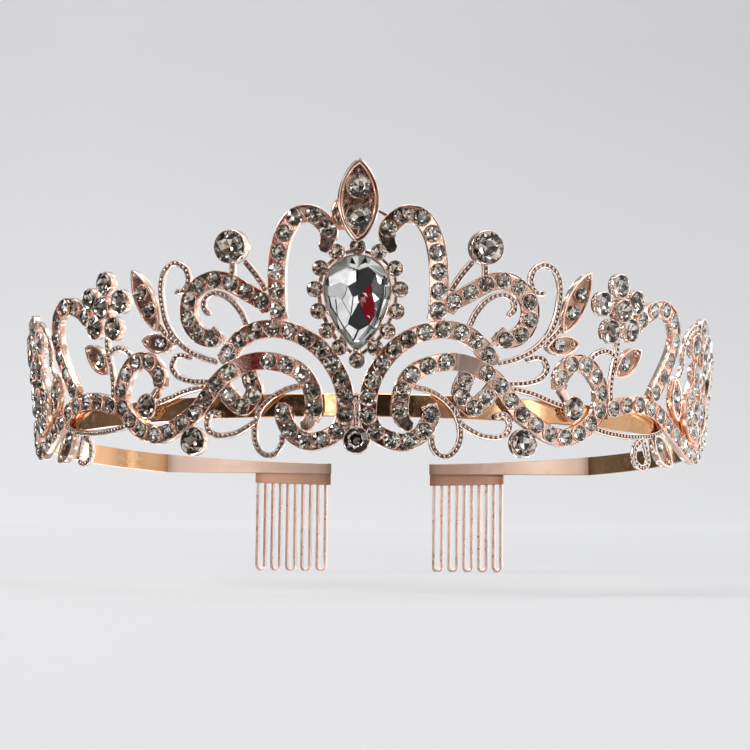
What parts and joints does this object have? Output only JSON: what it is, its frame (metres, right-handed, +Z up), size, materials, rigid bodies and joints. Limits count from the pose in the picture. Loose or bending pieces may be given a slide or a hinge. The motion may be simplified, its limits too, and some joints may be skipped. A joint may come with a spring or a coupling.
{
  "type": "bridal tiara",
  "caption": "Bridal tiara with a crystal set openwork front of scrolls, leaves and flowers, on a round metal head band whose ends carry two wire combs.",
  "frame": {"origin": "centre of the head band's circle, at the band's mid height", "axes": "+Z up along the head band's axis, towards the crest; -Y to the front centre of the openwork; +X to the right in the front view"},
  "size_m": [0.1506, 0.154, 0.0725],
  "materials": {
    "cast_metal": "polished rose gold plate on a cast alloy",
    "beaded_wire": "rose gold plate over a milled bead edge",
    "band_metal": "polished rose gold plate on a rolled strip",
    "comb_wire": "satin rose gold plate on drawn wire",
    "crystal": "foil backed cut glass",
    "pear_crystal": "foil backed cut glass with large facets"
  },
  "bodies": {
    "root": {"front_band": "band_metal", "pear_setting": "cast_metal", "pear_stone": "pear_crystal", "halo_setting": "cast_metal", "halo_stones": "crystal", "crest_setting": "cast_metal", "crest_stones": "crystal", "centre_drop_cup": "cast_metal", "centre_drop_stone": "crystal", "leaf_stones": "crystal", "flower_stones": "crystal", "round_stones": "crystal", "rear_arm_right": "band_metal", "rear_arm_left": "band_metal", "comb_spine_right": "comb_wire", "comb_spine_left": "comb_wire", "comb_teeth_right": "comb_wire", "comb_teeth_left": "comb_wire", "heart_scroll_right": "cast_metal", "heart_scroll_left": "cast_metal", "arch_right": "cast_metal", "arch_left": "cast_metal", "c_scroll_right": "cast_metal", "c_scroll_left": "cast_metal", "s_scroll_right": "cast_metal", "s_scroll_left": "cast_metal", "small_loop_right": "cast_metal", "small_loop_left": "cast_metal", "base_rail_right": "cast_metal", "base_rail_left": "cast_metal", "teardrop_loop_right": "cast_metal", "teardrop_loop_left": "cast_metal", "rear_loop_right": "cast_metal", "rear_loop_left": "cast_metal", "side_scroll_right": "cast_metal", "side_scroll_left": "cast_metal", "upper_tendrils_right": "beaded_wire", "upper_tendrils_left": "beaded_wire", "lower_tendrils_right": "beaded_wire", "lower_tendrils_left": "beaded_wire", "side_tendrils_right": "beaded_wire", "side_tendrils_left": "beaded_wire", "leaf_upper_right": "cast_metal", "leaf_upper_left": "cast_metal", "leaf_middle_right": "cast_metal", "leaf_middle_left": "cast_metal", "leaf_lower_right": "cast_metal", "leaf_lower_left": "cast_metal", "side_leaves_right": "cast_metal", "side_leaves_left": "cast_metal", "flower_front_right": "cast_metal", "flower_front_left": "cast_metal", "flower_rear_right": "cast_metal", "flower_rear_left": "cast_metal", "round_cups_right": "cast_metal", "round_cups_left": "cast_metal", "heart_stones": "crystal", "upper_stones": "crystal", "s_scroll_stones": "crystal", "side_stones": "crystal"}
  },
  "joints": []
}
